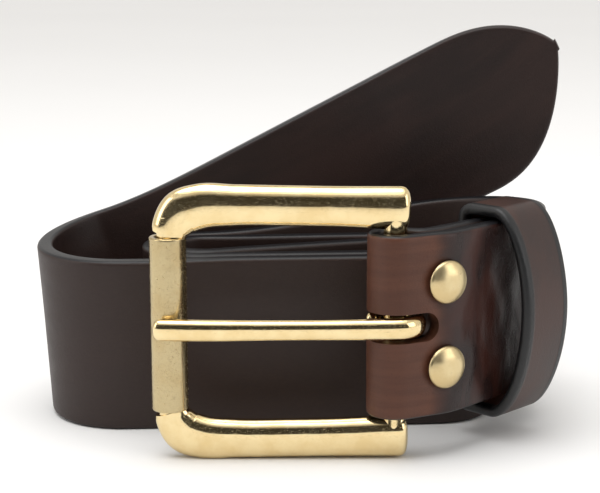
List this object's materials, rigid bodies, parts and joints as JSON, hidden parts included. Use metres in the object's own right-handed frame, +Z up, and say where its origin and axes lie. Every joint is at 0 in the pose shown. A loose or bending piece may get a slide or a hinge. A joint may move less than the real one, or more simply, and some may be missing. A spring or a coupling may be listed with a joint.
{
  "type": "leather belt",
  "caption": "Coiled leather belt with a brass roller buckle, riveted fold, leather keeper and a pointed tip.",
  "frame": {"origin": "under the middle of the coiled belt's bounding box, on the surface that it stands on", "axes": "+X along the long side of the coil, towards the keeper; -Y the way the buckle faces; +Z up, across the width of the strap"},
  "size_m": [0.1238, 0.0748, 0.0875],
  "materials": {
    "strap_leather": "smooth dark brown bridle leather with burnished black edges",
    "keeper_leather": "polished mid brown leather, black edges",
    "cast_brass": "polished solid brass",
    "roller_brass": "satin rolled brass tube with fine scratches",
    "rivet_brass": "brushed brass"
  },
  "bodies": {
    "belt_strap": {"strap": "strap_leather", "rivet_cap_front_lower": "rivet_brass", "rivet_cap_front_upper": "rivet_brass", "rivet_cap_rear_lower": "rivet_brass", "rivet_cap_rear_upper": "rivet_brass", "rivet_post_front_lower": "rivet_brass", "rivet_post_front_upper": "rivet_brass", "rivet_post_rear_lower": "rivet_brass", "rivet_post_rear_upper": "rivet_brass"},
    "loop": {"keeper": "keeper_leather"},
    "frame": {"buckle_frame": "cast_brass"},
    "tube": {"roller": "roller_brass"},
    "tongue": {"prong": "cast_brass"}
  },
  "joints": [
    {"name": "frame_swing", "type": "hinge", "parent": "belt_strap", "child": "frame", "pos_m": [0.01855, -0.02986, 0.02961], "axis": [0, 0, 1], "range_deg": [0, 40]},
    {"name": "prong_swing", "type": "hinge", "parent": "frame", "child": "tongue", "pos_m": [0.01855, -0.02986, 0.02961], "axis": [0, 0, 1], "range_deg": [0, 55]},
    {"name": "roller_spin", "type": "hinge", "parent": "frame", "child": "tube", "pos_m": [-0.02895, -0.02986, 0.02961], "axis": [0, 0, 1], "continuous": true},
    {"name": "keeper_slide", "type": "slide", "parent": "belt_strap", "child": "loop", "axis": [0.6979, 0.7162, 0], "range_m": [-0.003, 0.0005]}
  ]
}
